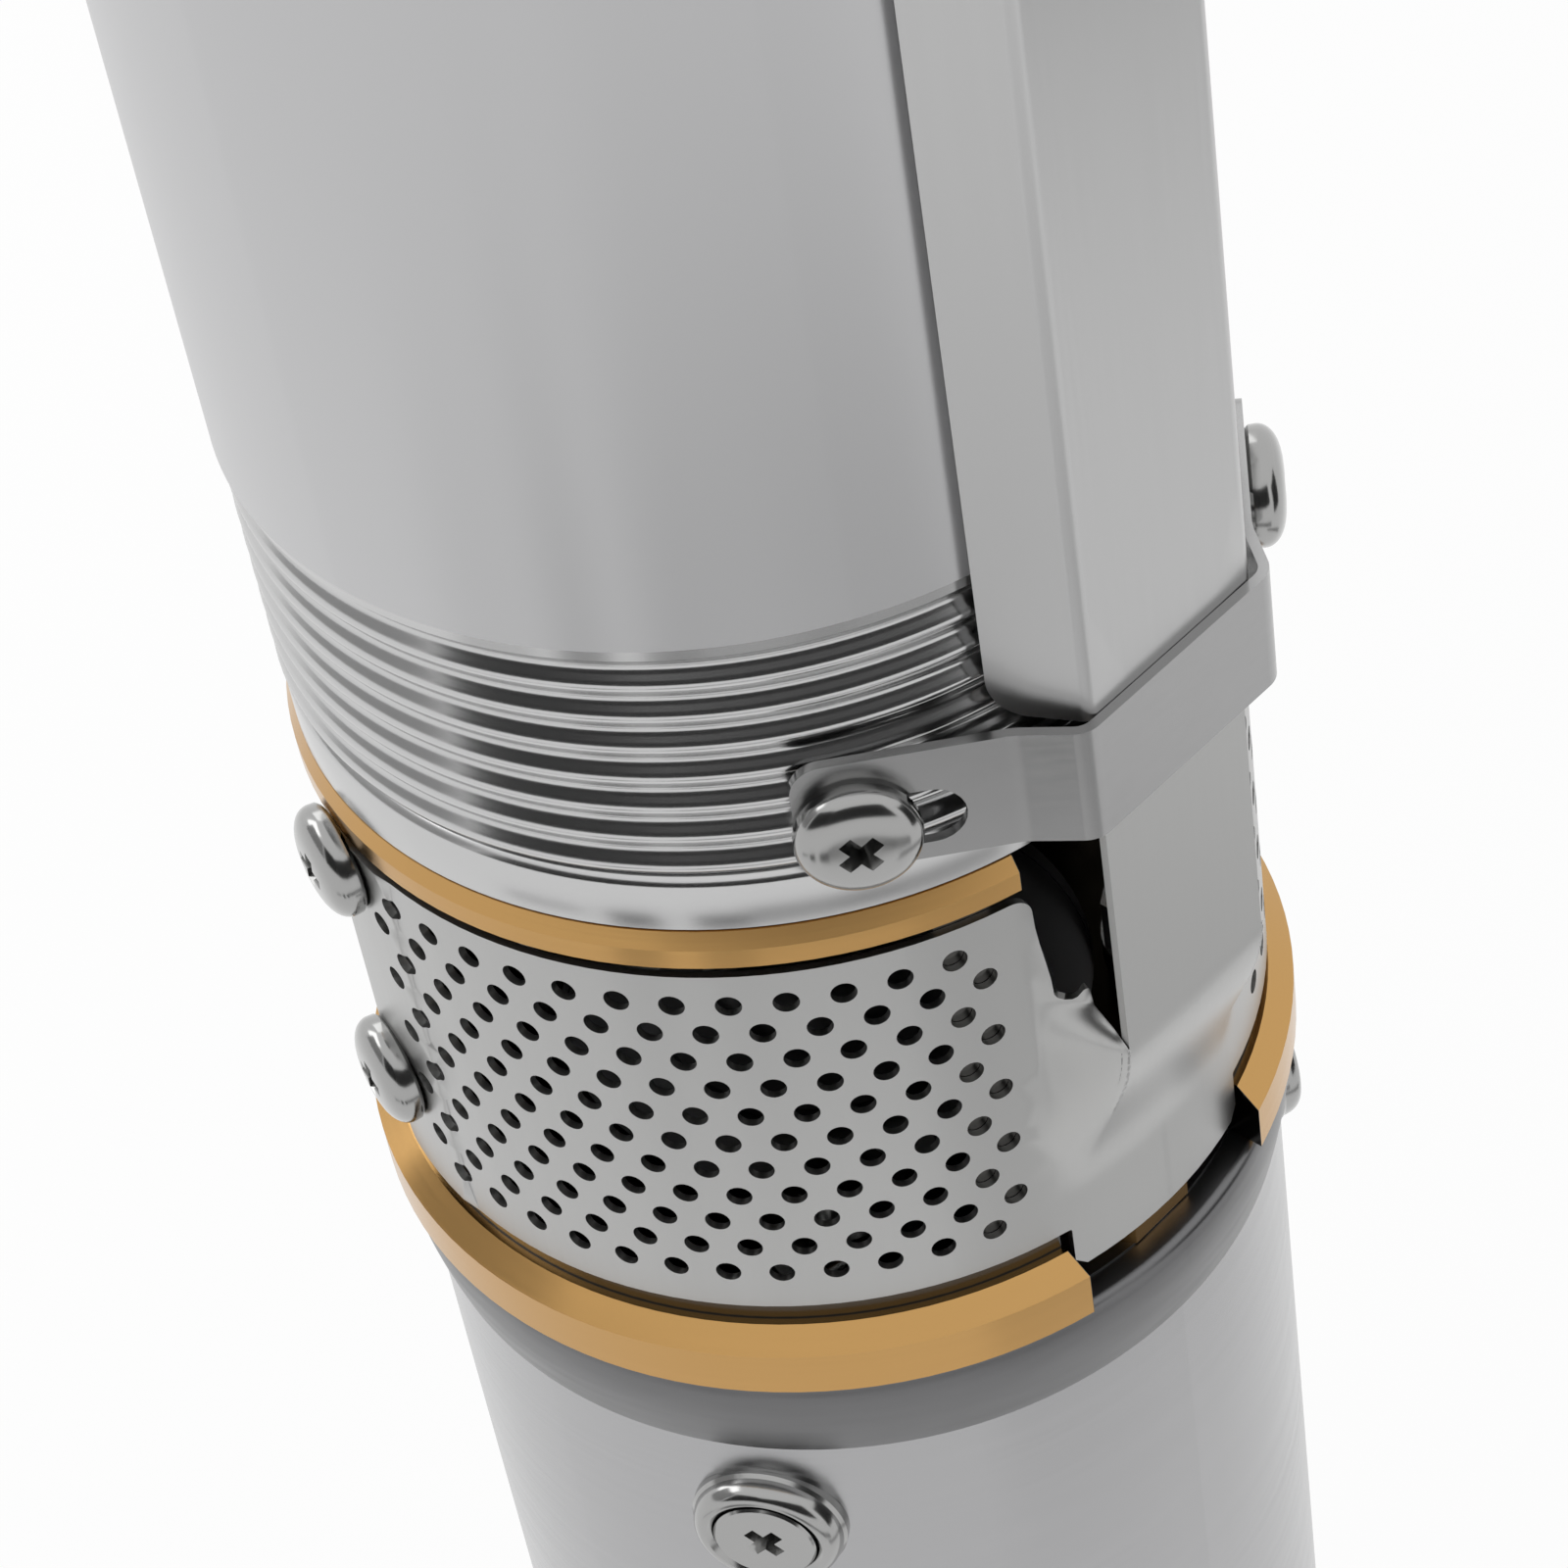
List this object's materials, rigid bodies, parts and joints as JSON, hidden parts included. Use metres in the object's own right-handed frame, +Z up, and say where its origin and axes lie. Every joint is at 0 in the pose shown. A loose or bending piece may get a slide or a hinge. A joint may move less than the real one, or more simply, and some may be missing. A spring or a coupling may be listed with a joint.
{
  "type": "borehole submersible pump",
  "caption": "Slim multistage water pump for a drilled well, with a wet motor below, a perforated inlet strainer and a cable guard.",
  "frame": {"origin": "centre of the motor's flat base, on the shaft's axis", "axes": "+Z up the shaft towards the outlet, +X towards the cable guard, +Y to complete the right-handed frame"},
  "size_m": [0.103, 0.097, 0.6853],
  "materials": {
    "sleeve_steel": "fine brushed stainless steel",
    "motor_steel": "satin stainless steel tube",
    "strainer_steel": "perforated stainless sheet, as rolled",
    "guard_steel": "pressed stainless sheet",
    "screw_steel": "polished stainless fasteners",
    "dark_steel": "turned stainless casting",
    "cast_brass": "turned and cast brass",
    "stage_steel": "drawn stainless steel",
    "stage_plastic": "glass-filled plastic",
    "shaft_steel": "ground stainless bar",
    "rubber": "nitrile rubber",
    "carbon": "carbon graphite",
    "seal_ceramic": "lapped ceramic",
    "core_steel": "stacked laminations",
    "copper": "enamelled copper winding",
    "cast_iron": "grey cast iron"
  },
  "bodies": {
    "pump": {"pump_sleeve": "sleeve_steel", "motor_tube": "motor_steel", "strainer_front": "strainer_steel", "strainer_rear": "strainer_steel", "cable_guard": "guard_steel", "guard_strap_lower": "guard_steel", "guard_strap_upper": "guard_steel", "strap_screws": "screw_steel", "strainer_screws": "screw_steel", "tube_screws": "screw_steel", "screw_cups": "screw_steel", "studs": "screw_steel", "stud_nuts": "screw_steel", "stud_washers": "screw_steel", "motor_head": "dark_steel", "base_cap": "dark_steel", "suction_housing": "cast_brass", "outlet_head": "cast_brass", "cable_gland": "cast_brass", "valve_seat": "cast_brass", "top_bracket": "cast_brass", "stage_bowl_1": "stage_steel", "stage_bowl_2": "stage_steel", "stage_bowl_3": "stage_steel", "stage_bowl_4": "stage_steel", "stage_bowl_5": "stage_steel", "diffuser_1": "stage_plastic", "diffuser_2": "stage_plastic", "diffuser_3": "stage_plastic", "diffuser_4": "stage_plastic", "diffuser_5": "stage_plastic", "top_bush": "rubber", "diaphragm": "rubber", "upper_bush": "carbon", "lower_bush": "carbon", "thrust_pads": "carbon", "seal_seat": "seal_ceramic", "stator_core": "core_steel", "stator_winding": "copper", "lower_bracket": "cast_iron", "thrust_plate": "cast_iron"},
    "rotor": {"pump_shaft": "shaft_steel", "motor_shaft": "shaft_steel", "coupling": "shaft_steel", "shaft_collar": "shaft_steel", "top_sleeve": "shaft_steel", "shaft_nut": "screw_steel", "thrust_disc": "shaft_steel", "rotor_core": "core_steel", "seal_ring": "carbon", "sand_slinger": "rubber", "impeller_1": "stage_plastic", "impeller_2": "stage_plastic", "impeller_3": "stage_plastic", "impeller_4": "stage_plastic", "impeller_5": "stage_plastic"},
    "check_valve": {"valve_poppet": "cast_brass", "valve_seal": "rubber", "valve_spring": "screw_steel"}
  },
  "joints": [
    {"name": "shaft_spin", "type": "hinge", "parent": "pump", "child": "rotor", "pos_m": [0, 0, 0.2], "axis": [0, 0, 1], "continuous": true},
    {"name": "valve_lift", "type": "slide", "parent": "pump", "child": "check_valve", "axis": [0, 0, 1], "range_m": [0, 0.008], "stiffness_N_per_m": 150, "springref_m": -0.004, "deforming": ["valve_spring"]}
  ]
}
